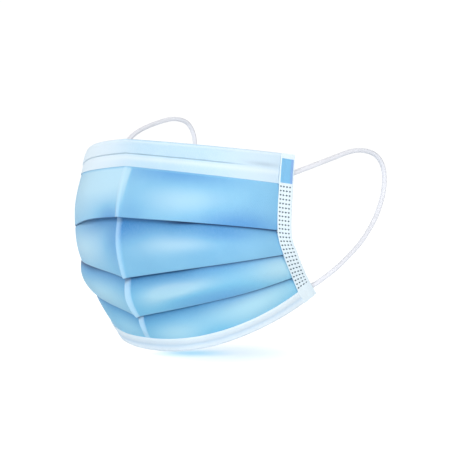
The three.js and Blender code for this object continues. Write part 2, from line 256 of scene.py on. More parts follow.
def seam_bow(panel, share, angle):
    """How far the side seam bows away from the straight run between two lines."""
    index = PANELS.index(panel)
    straight = SEAM_ENDS[index].lerp(SEAM_ENDS[index + 1], share)
    bow = curve_point(SEAM_ENDS, (index + share) / len(PANELS)) - straight
    bow.x *= math.copysign(1, angle)
    return bow * (angle / WRAP) ** SEAM_FADE


def crease_share(angle):
    """1 on top of the rounded ridge down the middle of the front, 0 off it."""
    off = abs(line_point(UPPER_PLEAT, angle).x) / CREASE_HALF_WIDTH
    return max(0.0, 1 - off * off) ** 1.5


def keel_rise(angle):
    """How far the two halves of the front stand out where they meet."""
    off = abs(line_point(UPPER_PLEAT, angle).x) / KEEL_HALF_WIDTH
    return KEEL_HEIGHT * max(0.0, 1 - off) ** 2


def station_angles():
    """Wrap angles across the mask, closest over the middle crease."""
    half = [WRAP * (step / HALF_STATIONS) ** STATION_CROWDING for step in range(1, HALF_STATIONS + 1)]
    return [-angle for angle in reversed(half)] + [0.0] + half


def width_places(angles):
    """How far across the cloth each station lies, in millimetres from the middle."""
    points = [line_point(UPPER_PLEAT, angle) for angle in angles]
    places = [0.0]
    for here, there in zip(points, points[1:]):
        places.append(places[-1] + (there - here).length)
    return [place - places[-1] / 2 for place in places]


class PanelRun:
    """One panel at one station: a chord from start to end with its swell."""

    def __init__(self, panel, angle, start, end):
        self.panel = panel
        self.angle = angle
        self.start = start
        self.chord = end - start
        self.length = self.chord.length
        self.down = self.chord.normalized()
        across = line_direction(panel.upper, angle) + line_direction(panel.lower, angle)
        self.out = self.down.cross(across).normalized()
        self.side = abs(angle) / WRAP
        swell = mix(panel.bulge, panel.cheek_bulge, smooth(0.0, CHEEK, -angle))
        self.bulge = mix(swell, SIDE_BULGE, self.side ** 3) if panel.bulge else 0.0
        self.puff = PUFF * smooth(0.3, 0.55, self.side) * (1 - self.side ** 8) if panel.keel_above else 0.0
        self.ridge = CREASE_HEIGHT * crease_share(angle)
        self.keel = keel_rise(angle)

    def slope(self, share):
        return self.bulge * 4 * (1 - 2 * share) / self.length

    def rise(self, share):
        """The crease and the keel, which run on from panel to panel."""
        grown = mix(self.panel.keel_above, self.panel.keel_below, share)
        return self.ridge * grown ** 0.8 + self.keel * grown

    def wave(self, share):
        """Soft dents that die out towards the pleats and the side tapes."""
        place = Vector((self.angle / WRAP * 5.0, self.panel.upper.mid_z / 9 + share * self.length / 11, 0.37))
        fade = math.sin(math.pi * share) * (1 - self.side ** 6)
        return WAVE * fade * noise.noise(place) if self.bulge else 0.0

    def point(self, share):
        swell = self.bulge * 4 * share * (1 - share) + self.rise(share) + self.wave(share)
        swell += self.puff * (1 - math.exp(-share * self.length / PUFF_ONSET)) * (1 - share) ** 2
        return self.start + self.chord * share + self.out * swell + seam_bow(self.panel, share, self.angle)

    def outward(self, share):
        return (self.out - self.down * self.slope(share)).normalized()

    def downward(self, share):
        return (self.down + self.out * self.slope(share)).normalized()


def tuck_depth(angle):
    """How deep each pleat tucks, so that the cloth has the same height all across."""
    points = [line_point(line, angle) for line in LINES]
    shown = sum((there - here).length for here, there in zip(points, points[1:]))
    pleats = sum(panel.pleat for panel in PANELS)
    return (CUT_HEIGHT - shown) / (2 * pleats)


def half_turn(run, share, depth, way, steps=6):
    """Points round a fold: way is 1 at a lip, below the cloth, and -1 at the top of a tuck."""
    centre = run.point(share) - run.outward(share) * depth
    out, down = run.outward(share), run.downward(share)
    turns = [math.pi * step / steps for step in range(1, steps)]
    return [centre + out * (TURN * math.cos(turn)) + down * (way * TURN * math.sin(turn)) for turn in turns]


def pleat_points(run, tuck, valley):
    """The layers behind a panel's lower edge: round the lip, up, round the tuck and down again."""
    def behind(share, depth):
        return run.point(share) - run.outward(share) * depth

    shares = [1 - tuck * step / (3 * run.length) for step in range(4)]
    points = half_turn(run, 1, TURN, 1)
    points += [behind(share, 2 * TURN) for share in shares]
    points += half_turn(run, shares[-1], 3 * TURN, -1)
    for step, share in enumerate(reversed(shares)):
        points.append(behind(share, 4 * TURN + valley * step / 3))
    return points


def valley_depth(angle):
    """How far the cloth below a pleat lies behind the lip: deep beside the crease, nothing on it."""
    side = abs(angle) / WRAP
    depth = mix(VALLEY_MIDDLE, VALLEY_SIDE, smooth(0.15, 0.6, side))
    return depth * (1 - 0.9 * crease_share(angle))


def panel_column(angle):
    """The panel's cloth at one station from top edge to bottom edge, with each point's place: its panel, how
    far down the panel it lies from 0 to 1, and its drop below the lip above, which is nothing within a pleat
    and a long way on a panel with no pleat above it."""
    points, places = [], []
    start = line_point(TOP_EDGE, angle)
    for index, panel in enumerate(PANELS):
        line = line_point(panel.lower, angle)
        fall = (line - start).normalized()
        end = line - fall * (LIP if panel.pleat else 0.0)
        run = PanelRun(panel, angle, start, end)
        after_pleat = index > 0 and PANELS[index - 1].pleat
        for step in range(0 if after_pleat or index == 0 else 1, panel.steps + 1):
            share = (step / panel.steps) ** (STEP_CROWDING if after_pleat else 1.0)
            points.append(run.point(share))
            places.append((index, share, share * run.length if after_pleat else NO_PLEAT_ABOVE))
        start = end
        if panel.pleat:
            hidden = pleat_points(run, tuck_depth(angle), valley_depth(angle))
            points += hidden
            places += [(index, 1.0, 0.0)] * len(hidden)
            emerge = mix(EMERGE_MIDDLE, EMERGE_SIDE, smooth(0.3, 0.5, run.side))
            start = points[-1] - run.out * run.rise(1) + run.downward(1) * emerge
    return points, places


def painted_light_and_shade(index, across, share):
    """How much painted highlight a panel's cloth gets, from -1 to 1, with painted shade below 0; a spot ends
    at the middle crease.
    """
    tone = 0.0
    for spot in PAINTED_HIGHLIGHTS_AND_SHADE:
        if spot.panel == index:
            off = ((across - spot.across) / spot.across_spread) ** 2
            off += ((share - spot.down) / spot.down_spread) ** 2
            past_crease = across - (mix(*CREASE_LEAN, share) if index == 1 else 0.0)
            own_side = smooth(-1.0, 1.0, math.copysign(past_crease, past_crease * spot.across))
            tone += spot.strength * own_side * math.exp(-off)
    return max(-1.0, min(1.0, tone))


# Mesh making
def paint(obj, name, values):
    """Gives each point of a mesh a value that its material reads by name."""
    obj.data.attributes.new(name, "FLOAT", "POINT").data.foreach_set("value", values)


def tube_faces(rings, count):
    """Faces of a closed tube of rings with an equal count of points, and its two ends."""
    faces = []
    for ring in range(rings):
        for step in range(count):
            here, following = ring * count + step, ring * count + (step + 1) % count
            faces.append((here, following, following + count, here + count))
    faces.append(tuple(range(count)))
    faces.append(tuple(rings * count + step for step in reversed(range(count))))
    return faces


def new_object(name, points, faces, uvs):
    """A mesh object from points in millimetres, with one UV place in metres for each point."""
    mesh = bpy.data.meshes.new(name)
    mesh.from_pydata([point * MM for point in points], [], faces)
    layer = mesh.uv_layers.new(name="cloth")
    for loop in mesh.loops:
        layer.data[loop.index].uv = uvs[loop.vertex_index]
    obj = bpy.data.objects.new(name, mesh)
    bpy.context.scene.collection.objects.link(obj)
    return obj


def grid_object(name, columns, uvs):
    """A sheet from columns of points, each running down the outer side."""
    rows = len(columns[0])
    points = [point for column in columns for point in column]
    places = [place for column in uvs for place in column]
    faces = []
    for across in range(len(columns) - 1):
        for down in range(rows - 1):
            corner = across * rows + down
            faces.append((corner, corner + 1, corner + rows + 1, corner + rows))
    return new_object(name, points, faces, places)


def select_only(obj):
    bpy.ops.object.select_all(action="DESELECT")
    obj.select_set(True)
    bpy.context.view_layer.objects.active = obj


def thicken(obj, thickness, inner_material=0):
    """Gives a sheet its thickness, with the second material on the inner side."""
    select_only(obj)
    solid = obj.modifiers.new("thickness", "SOLIDIFY")
    solid.thickness = thickness * MM
    solid.offset = 0.0
    solid.material_offset = inner_material
    solid.material_offset_rim = inner_material
    bpy.ops.object.modifier_apply(modifier=solid.name)
    bpy.ops.object.shade_smooth_by_angle(angle=math.radians(50))


def close_and_smooth(obj):
    """Turns a closed mesh's faces outwards and smooths its round edges."""
    shape = bmesh.new()
    shape.from_mesh(obj.data)
    bmesh.ops.recalc_face_normals(shape, faces=shape.faces)
    shape.to_mesh(obj.data)
    shape.free()
    select_only(obj)
    bpy.ops.object.shade_smooth_by_angle(angle=math.radians(50))


def cloth_lengths(column):
    """How far down the cloth each point of a column lies, in millimetres."""
    lengths = [0.0]
    for here, there in zip(column, column[1:]):
        lengths.append(lengths[-1] + (there - here).length)
    return lengths


# Pieces
def make_panel():
    angles = station_angles()
    made = [panel_column(angle) for angle in angles]
    columns = [points for points, _ in made]
    widths = width_places(angles)
    uvs = []
    for across, column in zip(widths, columns):
        uvs.append([(across * MM, length * MM) for length in cloth_lengths(column)])
    panel = grid_object("pleated_cloth", columns, uvs)
    shades, lines, tones = [], [], []
    for across, angle, (_, places) in zip(widths, angles, made):
        side = abs(angle) / WRAP
        strength = mix(*TUCK_SHADE, smooth(0.3, 0.95, side))
        reach = mix(*TUCK_REACH, smooth(0.3, 0.95, side))
        far_side = smooth(0.05, 0.35, -angle / WRAP)
        far_clear = 1 - FIRST_PLEAT_CLEARING * smooth(0.15, 0.45, -angle / WRAP)
        off_middle = smooth(0.15, 0.45, side)
        for index, share, drop in places:
            first_pleat = index < 2 or (index == 2 and share < 1)
            clear = far_clear if first_pleat else 1.0
            shades.append(clear * strength * math.exp(-(drop / reach) ** 1.5))
            line_strength = mix(LINE_MIDDLE if index < 3 else LOWER_LINE_MIDDLE, 1.0, off_middle)
            line_width = LINE_WIDTH if index < 3 else LINE_WIDTH * mix(*LOWER_LINE_WIDENING, far_side)
            lines.append(clear * line_strength * math.exp(-(drop / line_width) ** 2))
            tones.append(painted_light_and_shade(index, across, share))
    paint(panel, "tuck_shade", shades)
    paint(panel, "lip_shadow_line", lines)
    paint(panel, "painted_light_and_shade", tones)
    panel.data.materials.append(panel_material())
    panel.data.materials.append(lining_material())
    thicken(panel, PLY, inner_material=1)
    return panel


def band_column(angle, edge, inner_line, profile):
    """A band's cloth at one station from (height, depth, shade) rows: height stands out from the panel's
    middle, depth runs in from the edge. Gives the points and their shades."""
    rim, limit = line_point(edge, angle), line_point(inner_line, angle)
    run = (limit - rim).normalized()
    across = line_direction(edge, angle) + line_direction(inner_line, angle)
    out = run.cross(across).normalized()
    if edge is BOTTOM_EDGE:
        out = -out
    made = profile((limit - rim).length)
    return [rim + out * height + run * depth for height, depth, _ in made], [shade for _, _, shade in made]


def over_edge(lift, steps=8):
    """Rows of the fold over the panel's edge, from the outer side to the inner one."""
    turns = [math.pi * step / steps for step in range(steps + 1)]
    return [(lift * math.cos(turn), lift - lift * math.sin(turn), 0.0) for turn in turns]


def bell(value, middle, spread):
    """1 at the middle, falling off softly to both sides."""
    return math.exp(-((value - middle) / spread) ** 2)


def top_band_profile(across):
    """The top band's section at a place across the cloth: the wire lifts its upper half."""
    past_end, end_spread = WIRE_END_SHADE
    wire = 1 - smooth(WIRE_HALF + WIRE_TAPER[0], WIRE_HALF + WIRE_TAPER[1], abs(across))
    wire_end = bell(abs(across), WIRE_HALF + past_end, end_spread)
    below, spread, sink = GROOVE
    steps = BAND_STEPS[0]

    def profile(height):
        middle = height * 0.5
        rows = []
        for step in range(INSIDE_STEPS):
            rows.append((-BAND_LIFT, mix(BAND_INSIDE, BAND_LIFT, step / INSIDE_STEPS), 0.0))
        rows += reversed(over_edge(BAND_LIFT))
        for step in range(1, steps + 1):
            depth = mix(BAND_LIFT, height, step / steps)
            rise = smooth(0.8, 2.2, depth) * (1 - smooth(middle - 0.25, middle + 0.25, depth))
            groove = bell(depth, middle + below, spread)
            end_shade = wire_end * bell(depth, middle - 1.0, 1.1)
            lower_highlight, rim_highlight = bell(depth, middle + 2.2, 1.3), bell(depth, 0.8, 0.7)
            # painted shade above 0: the line under the wire and a faint shade past its end; painted
            # highlights below 0: streaks below the line and along the rim
            shade = wire * groove + 0.45 * end_shade
            shade -= (1 - groove) * (0.8 * lower_highlight + 0.6 * rim_highlight)
            rows.append((BAND_LIFT + WIRE_LIFT * wire * rise - sink * wire * groove, depth, shade))
        return rows
    return profile


def bottom_band_profile(across):
    """The bottom band's section, the same all across: a soft lengthwise fold along its middle."""
    steps = BAND_STEPS[1]

    def profile(height):
        rows = []
        for step in range(steps):
            depth = mix(height, BAND_LIFT, step / steps)
            fold = bell(depth, height * 0.45, height * 0.16)
            swell = CHIN_PUFF * (1 - fold) * smooth(0.0, 0.8, height - depth)
            rows.append((BAND_LIFT + swell, depth, fold))
        rows += over_edge(BAND_LIFT)
        for step in range(1, INSIDE_STEPS + 1):
            rows.append((-BAND_LIFT, mix(BAND_LIFT, BAND_INSIDE, step / INSIDE_STEPS), 0.0))
        return rows
    return profile


def make_band(name, edge, inner_line, profile_at, material):
    angles = station_angles()
    columns, uvs, shades = [], [], []
    for across, angle in zip(width_places(angles), angles):
        column, column_shades = band_column(angle, edge, inner_line, profile_at(across))
        columns.append(column)
        shades += column_shades
        uvs.append([(across * MM, length * MM) for length in cloth_lengths(column)])
    band = grid_object(name, columns, uvs)
    paint(band, "fold_shade", shades)
    band.data.materials.append(material)
    thicken(band, BAND_PLY)
    return band


def weld_dot(across, down):
    """1 in the middle of a weld dot, falling to 0 at its rim."""
    off = 0.0
    for value, start, pitch, count, radius in zip((across, down), DOT_START, DOT_PITCH, DOT_COUNT, DOT_RADII):
        cell = (value - start) / pitch
        if not -0.5 < cell < count - 0.5:
            return 0.0
        off += ((cell - round(cell)) * pitch / radius) ** 2
    return 1 - smooth(0.5, 1.1, math.sqrt(off))


def on_tab(across, down):
    """1 on the blue tab, 0 off it."""
    left, top, right, bottom = TAB_CORNERS
    inside = min(across - left, right - across, down - top, bottom - down)
    return smooth(-0.1, 0.1, inside)


def tape_heights(across, down):
    """The tape's outer and inner face, from the middle of the panel's cloth: a thin edge laps over the panel,
    and the rest reaches behind the stacked layers of the pleats."""
    lap = 1 - smooth(-TAPE_OVERLAP, 3.0, across)
    stack = smooth(-0.7, -0.3, across)
    thin = smooth(TAPE_WIDTH - 4.0, TAPE_WIDTH, across)
    rounding = smooth(TAPE_WIDTH - 0.7, TAPE_WIDTH, across) + 0.5 * smooth(0.5, 0.0, across + TAPE_OVERLAP)
    dent = DOT_DEPTH * weld_dot(across, down)
    outer = TAPE_FRONT + 0.35 * lap + 0.1 * on_tab(across, down) - 0.35 * thin
    inner = mix(outer - TAPE_LAP, -TAPE_BACK + 0.75 * thin, stack)
    front = outer - 0.25 * rounding - dent
    return front, inner + 0.25 * rounding * stack + dent * stack


def make_tape(name, side, material, rows=330, across_steps=50):
    """The welded tape at one side: a closed strip with weld dots pressed into both faces."""
    places = [row / rows for row in range(rows + 1)]
    roots = [curve_point(SEAM_ENDS, place) for place in places]
    widths = [mix(-TAPE_OVERLAP, TAPE_WIDTH, step / across_steps) for step in range(across_steps + 1)]
    points, uvs = [], []
    for row, place in enumerate(places):
        root = roots[row]
        down = roots[0].z - root.z
        spread = curve_point(SEAM_SPREAD, place).normalized()
        ahead, behind = roots[min(row + 1, rows)], roots[max(row - 1, 0)]
        out = (ahead - behind).cross(spread).normalized()
        heights = [tape_heights(width, down) for width in widths]
        loop = [(width, front) for width, (front, _) in zip(widths, heights)]
        loop += reversed([(width, back) for width, (_, back) in zip(widths, heights)])
        for width, height in loop:
            spot = root + spread * width + out * height
            points.append(Vector((side * spot.x, spot.y, spot.z)))
            uvs.append((width * MM, down * MM))
    tape = new_object(name, points, tube_faces(rows, 2 * len(widths)), uvs)
    tape.data.materials.append(material)
    close_and_smooth(tape)
    return tape


def make_loop(name, route, seats, material, step=0.6, sides=40):
    """A knitted elastic cord along its route, pressed flat where it is welded to the tape. The seats say how
    far its two ends move out to lie on the tape's inner face."""
    knots = [Vector(place) for place in route]
    fine = [curve_point(knots, index / ROUTE_STEPS) for index in range(ROUTE_STEPS + 1)]
    lengths = cloth_lengths(fine)
    whole = lengths[-1]
    count = round(whole / step)
    path, index = [], 0
    for ring in range(count + 1):
        target = whole * ring / count
        while index < len(lengths) - 2 and lengths[index + 1] < target:
            index += 1
        share = (target - lengths[index]) / (lengths[index + 1] - lengths[index])
        centre = fine[index].lerp(fine[index + 1], share)
        upper_seat = seats[0] * (1 - smooth(*SEAT_REACH[0], target))
        lower_seat = seats[1] * (1 - smooth(*SEAT_REACH[1], whole - target))
        path.append(centre + Vector((math.copysign(upper_seat + lower_seat, centre.x), 0, 0)))
    points, uvs, shades = [], [], []
    side_way = Vector((1, 0, 0))
    for ring, centre in enumerate(path):
        along = (path[min(ring + 1, count)] - path[max(ring - 1, 0)]).normalized()
        side_way = (side_way - along * side_way.dot(along)).normalized()
        other = along.cross(side_way)
        travelled = whole * ring / count
        flat = 1 - smooth(*FLAT_REACH, min(travelled, whole - travelled))
        for corner in range(sides):
            turn = 2 * math.pi * corner / sides
            radius = LOOP_RADIUS * (1 + LOOP_RIB * math.cos(LOOP_WALES * turn))
            thick, wide = [radius * mix(1.0, share, flat) for share in FLAT_SECTION]
            radial = side_way * math.cos(turn) + other * math.sin(turn)
            shades.append(smooth(*SHADED_REACH, radial.dot(SHADED_WAY)))
            points.append(centre + side_way * (thick * math.cos(turn)) + other * (wide * math.sin(turn)))
            uvs.append((corner / sides, travelled * MM))
    loop = new_object(name, points, tube_faces(count, sides), uvs)
    paint(loop, "under_shade", shades)
    loop.data.materials.append(material)
    close_and_smooth(loop)
    return loop, [centre * MM for centre in path]


# Materials
def new_tree(name):
    material = bpy.data.materials.new(name)
    material.use_nodes = True
    tree = material.node_tree
    return material, tree, tree.nodes["Principled BSDF"]


def add_node(tree, kind, links=None, **settings):
    """Adds a node, sets its properties and inputs, and links the inputs given as sockets."""
    node = tree.nodes.new(kind)
    for key, value in settings.items():
        setattr(node, key, value)
    for key, value in (links or {}).items():
        socket = node.inputs[key]
        if isinstance(value, bpy.types.NodeSocket):
            tree.links.new(value, socket)
        else:
            socket.default_value = value
    return node


def math_node(tree, operation, first, second=0.0):
    return add_node(tree, "ShaderNodeMath", {0: first, 1: second}, operation=operation).outputs[0]


def vector_node(tree, operation, first, second=None, output="Vector"):
    links = {0: first} if second is None else {0: first, 1: second}
    return add_node(tree, "ShaderNodeVectorMath", links, operation=operation).outputs[output]


def ramp(tree, value, low, high, start=0.0, end=1.0):
    """A soft ramp of a value from low to high."""
    links = {"Value": value, "From Min": low, "From Max": high, "To Min": start, "To Max": end}
    node = add_node(tree, "ShaderNodeMapRange", links, interpolation_type="SMOOTHSTEP")
    return node.outputs["Result"]


def blend_colour(tree, share, first, second):
    node = add_node(tree, "ShaderNodeMix", data_type="RGBA")
    for socket, value in zip((node.inputs[0], node.inputs[6], node.inputs[7]), (share, first, second)):
        if isinstance(value, bpy.types.NodeSocket):
            tree.links.new(value, socket)
        else:
            socket.default_value = value
    return node.outputs[2]


def lay_over(tree, base, share, strength, tone):
    """Lays a colour over the base wherever the share says, as strongly as told."""
    return blend_colour(tree, math_node(tree, "MULTIPLY", share, strength), base, tone)


def colour(red, green, blue):
    """A colour from its 0 to 255 screen values."""
    def linear(value):
        share = value / 255
        return share / 12.92 if share <= 0.04045 else ((share + 0.055) / 1.055) ** 2.4
    return (linear(red), linear(green), linear(blue), 1.0)


def nonwoven_group():
    """Spunbonded cloth: a mat of fine fibres held by a lattice of small bonded points."""
    tree = bpy.data.node_groups.new("nonwoven", "ShaderNodeTree")
    tree.interface.new_socket("Place", in_out="INPUT", socket_type="NodeSocketVector")
    tree.interface.new_socket("Bond Spacing", in_out="INPUT", socket_type="NodeSocketFloat")
    for name in ("Fibre", "Bond", "Mottle", "Height"):
        tree.interface.new_socket(name, in_out="OUTPUT", socket_type="NodeSocketFloat")
    given = tree.nodes.new("NodeGroupInput").outputs
    result = tree.nodes.new("NodeGroupOutput").inputs
    place = vector_node(tree, "MULTIPLY", given["Place"], (1000, 1000, 1000))
    strands = []
    for turn, stretch in ((0.5, (7.0, 0.9, 1.0)), (-0.7, (6.0, 0.8, 1.0)), (1.5, (7.5, 1.1, 1.0))):
        turned = add_node(tree, "ShaderNodeMapping",
                          {"Vector": place, "Rotation": (0, 0, turn), "Scale": stretch}).outputs[0]
        strand = add_node(tree, "ShaderNodeTexNoise",
                          {"Vector": turned, "Scale": 0.9, "Detail": 3.0, "Distortion": 1.2}).outputs[0]
        strands.append(ramp(tree, strand, 0.5, 0.72))
    fibre = math_node(tree, "MAXIMUM", math_node(tree, "MAXIMUM", strands[0], strands[1]), strands[2])
    spacing = math_node(tree, "DIVIDE", 1.0, given["Bond Spacing"])
    lattice = add_node(tree, "ShaderNodeMapping",
                       {"Vector": place, "Rotation": (0, 0, math.pi / 4)}).outputs[0]
    cells = add_node(tree, "ShaderNodeVectorMath", {0: lattice, "Scale": spacing},
                     operation="SCALE").outputs[0]
    inside = vector_node(tree, "FRACTION", cells)
    centred = vector_node(tree, "SUBTRACT", inside, (0.5, 0.5, 0.0))
    flat = vector_node(tree, "MULTIPLY", centred, (1, 1, 0))
    off = vector_node(tree, "LENGTH", flat, output="Value")
    bond = ramp(tree, off, 0.16, 0.30, 1.0, 0.0)
    mottle = add_node(tree, "ShaderNodeTexNoise",
                      {"Vector": place, "Scale": 0.055, "Detail": 3.0, "Roughness": 0.5}).outputs[0]
    height = math_node(tree, "SUBTRACT", math_node(tree, "MULTIPLY", fibre, 0.45),
                       math_node(tree, "MULTIPLY", bond, 0.8))
    for name, value in (("Fibre", fibre), ("Bond", bond), ("Mottle", mottle), ("Height", height)):
        tree.links.new(value, result[name])
    return tree


NONWOVEN = nonwoven_group()


def cloth_surface(tree, spacing):
    """The nonwoven group on the piece's own cloth map: its outputs and the map."""
    cloth_map = add_node(tree, "ShaderNodeUVMap", uv_map="cloth").outputs[0]
    group = add_node(tree, "ShaderNodeGroup", node_tree=NONWOVEN)
    group.inputs["Bond Spacing"].default_value = spacing
    tree.links.new(cloth_map, group.inputs["Place"])
    return group.outputs, cloth_map


def set_cloth(tree, shader, base, rough, height, depth, sheen):
    """Wires a cloth's colour, roughness and relief to its shader."""
    tree.links.new(base, shader.inputs["Base Color"])
    tree.links.new(rough, shader.inputs["Roughness"])
    bump = add_node(tree, "ShaderNodeBump", {"Height": height, "Strength": 0.5, "Distance": depth})
    tree.links.new(bump.outputs[0], shader.inputs["Normal"])
    shader.inputs["Sheen Weight"].default_value = sheen
    shader.inputs["Sheen Roughness"].default_value = 0.45
    shader.inputs["Specular IOR Level"].default_value = 0.25


def panel_material():
    material, tree, shader = new_tree("blue_outer_cloth")
    cloth, cloth_map = cloth_surface(tree, 1.0)
    shade = add_node(tree, "ShaderNodeAttribute", attribute_name="tuck_shade").outputs["Fac"]
    line = add_node(tree, "ShaderNodeAttribute", attribute_name="lip_shadow_line").outputs["Fac"]
    axes = add_node(tree, "ShaderNodeSeparateXYZ", {0: cloth_map}).outputs
    low = ramp(tree, axes[1], 0.060, 0.105)
    # painted highlight along the middle crease, wider and stronger lower on the cloth
    widening = math_node(tree, "ADD", math_node(tree, "MULTIPLY", low, 0.5), 1.0)
    off_middle = math_node(tree, "DIVIDE", math_node(tree, "ABSOLUTE", axes[0]), widening)
    crease = ramp(tree, off_middle, 0.0006, 0.0016, 1.0, 0.0)
    tone = add_node(tree, "ShaderNodeAttribute", attribute_name="painted_light_and_shade").outputs["Fac"]
    # painted highlight above 0 and painted shade below 0, from the listed spots; the highlight colour is
    # paler lower on the cloth
    pale = math_node(tree, "MAXIMUM", tone, 0.0)
    deep = math_node(tree, "MULTIPLY", math_node(tree, "MINIMUM", tone, 0.0), -1.0)
    mottle = ramp(tree, cloth["Mottle"], 0.3, 0.7)
    base = blend_colour(tree, mottle, colour(128, 192, 228), colour(136, 198, 231))
    base = lay_over(tree, base, low, 0.7, colour(122, 204, 235))
    palest = blend_colour(tree, low, colour(186, 225, 242), colour(190, 234, 246))
    base = blend_colour(tree, pale, base, palest)
    base = blend_colour(tree, deep, base, colour(78, 150, 212))
    base = lay_over(tree, base, shade, 0.85, colour(12, 124, 192))
    base = lay_over(tree, base, cloth["Fibre"], 0.14, colour(196, 230, 250))
    base = lay_over(tree, base, cloth["Bond"], 0.16, colour(84, 156, 214))
    crease_highlight_strength = math_node(tree, "ADD", math_node(tree, "MULTIPLY", low, 0.35), 0.42)
    base = lay_over(tree, base, crease, crease_highlight_strength, colour(200, 232, 250))
    # painted shadow line under each pleat's lip and round its hidden underside
    base = blend_colour(tree, line, base, colour(4, 52, 100))
    rough = ramp(tree, cloth["Fibre"], 0.0, 1.0, 0.5, 0.64)
    set_cloth(tree, shader, base, rough, cloth["Height"], 0.00008, 0.25)
    shader.inputs["Specular IOR Level"].default_value = 0.5
    return material


def white_cloth(name, low, high, spacing):
    """White nonwoven between two close tones: the material, its tree and the colour so far."""
    material, tree, shader = new_tree(name)
    cloth, cloth_map = cloth_surface(tree, spacing)
    base = blend_colour(tree, ramp(tree, cloth["Mottle"], 0.3, 0.7), low, high)
    base = lay_over(tree, base, cloth["Bond"], 0.14, colour(196, 216, 230))
    base = lay_over(tree, base, cloth["Fibre"], 0.2, colour(252, 254, 255))
    rough = ramp(tree, cloth["Fibre"], 0.0, 1.0, 0.74, 0.88)
    set_cloth(tree, shader, base, rough, cloth["Height"], 0.0001, 0.2)
    return material, tree, shader, base, cloth_map


def lining_material():
    return white_cloth("white_lining", colour(234, 242, 247), colour(242, 247, 251), 0.9)[0]


def top_band_material():
    """The nose band: the blue cloth shows through its middle, with a painted shadow line along the wire and
    painted highlight streaks.
    """
    made = white_cloth("top_band_cloth", colour(190, 221, 239), colour(197, 227, 243), 1.0)
    material, tree, shader, base, cloth_map = made
    across = add_node(tree, "ShaderNodeSeparateXYZ", {0: cloth_map}).outputs[0]
    away = math_node(tree, "ABSOLUTE", math_node(tree, "SUBTRACT", across, 0.028))
    base = blend_colour(tree, ramp(tree, away, 0.012, 0.045), base, colour(212, 231, 243))
    base = blend_colour(tree, ramp(tree, across, 0.012, -0.030), base, colour(230, 242, 249))
    shade = add_node(tree, "ShaderNodeAttribute", attribute_name="fold_shade").outputs["Fac"]
    # painted highlights where the shade value is below 0, painted shade where it is above
    base = lay_over(tree, base, shade, -0.75, colour(232, 243, 250))
    base = lay_over(tree, base, shade, 0.75, colour(136, 160, 178))
    tree.links.new(base, shader.inputs["Base Color"])
    return material


def bottom_band_material():
    """The chin band: white, with a soft blue-grey shade along its fold."""
    made = white_cloth("bottom_band_cloth", colour(234, 244, 250), colour(241, 249, 253), 1.0)
    material, tree, shader, base, _ = made
    shade = add_node(tree, "ShaderNodeAttribute", attribute_name="fold_shade").outputs["Fac"]
    base = lay_over(tree, base, shade, 0.8, colour(212, 230, 244))
    tree.links.new(base, shader.inputs["Base Color"])
    return material


def tape_material():
    """Pressed white cloth with dark weld dots and the blue tab at its upper end."""
    material, tree, shader = new_tree("welded_tape")
    cloth, cloth_map = cloth_surface(tree, 0.8)
    axes = add_node(tree, "ShaderNodeSeparateXYZ", {0: cloth_map})
    across = math_node(tree, "MULTIPLY", axes.outputs[0], 1000.0)
    down = math_node(tree, "MULTIPLY", axes.outputs[1], 1000.0)
    offs, inside = [], []
    for value, start, pitch, count, radius in zip((across, down), DOT_START, DOT_PITCH, DOT_COUNT, DOT_RADII):
        cell = math_node(tree, "DIVIDE", math_node(tree, "SUBTRACT", value, start), pitch)
        nearest = math_node(tree, "ROUND", cell)
        offs.append(math_node(tree, "MULTIPLY", math_node(tree, "SUBTRACT", cell, nearest), pitch / radius))
        after = math_node(tree, "GREATER_THAN", cell, -0.5)
        before = math_node(tree, "LESS_THAN", cell, count - 0.5)
        inside.append(math_node(tree, "MULTIPLY", after, before))
    squares = [math_node(tree, "MULTIPLY", off, off) for off in offs]
    off = math_node(tree, "SQRT", math_node(tree, "ADD", *squares))
    dot = math_node(tree, "MULTIPLY", ramp(tree, off, 0.7, 1.05, 1.0, 0.0),
                    math_node(tree, "MULTIPLY", *inside))
    left, top, right, bottom = TAB_CORNERS
    sides = [math_node(tree, "GREATER_THAN", across, left), math_node(tree, "LESS_THAN", across, right),
             math_node(tree, "GREATER_THAN", down, top), math_node(tree, "LESS_THAN", down, bottom)]
    tab = math_node(tree, "MULTIPLY", math_node(tree, "MULTIPLY", sides[0], sides[1]),
                    math_node(tree, "MULTIPLY", sides[2], sides[3]))
    mottle = ramp(tree, cloth["Mottle"], 0.3, 0.7)
    base = blend_colour(tree, mottle, colour(236, 249, 255), colour(242, 252, 255))
    base = lay_over(tree, base, cloth["Bond"], 0.15, colour(196, 218, 232))
    blue = blend_colour(tree, ramp(tree, across, 5.8, 6.4), colour(132, 196, 236), colour(140, 182, 234))
    base = blend_colour(tree, tab, base, blue)
    base = blend_colour(tree, dot, base, colour(72, 92, 104))
    rough = ramp(tree, dot, 0.0, 1.0, 0.7, 0.35)
    set_cloth(tree, shader, base, rough, cloth["Height"], 0.00006, 0.15)
    return material


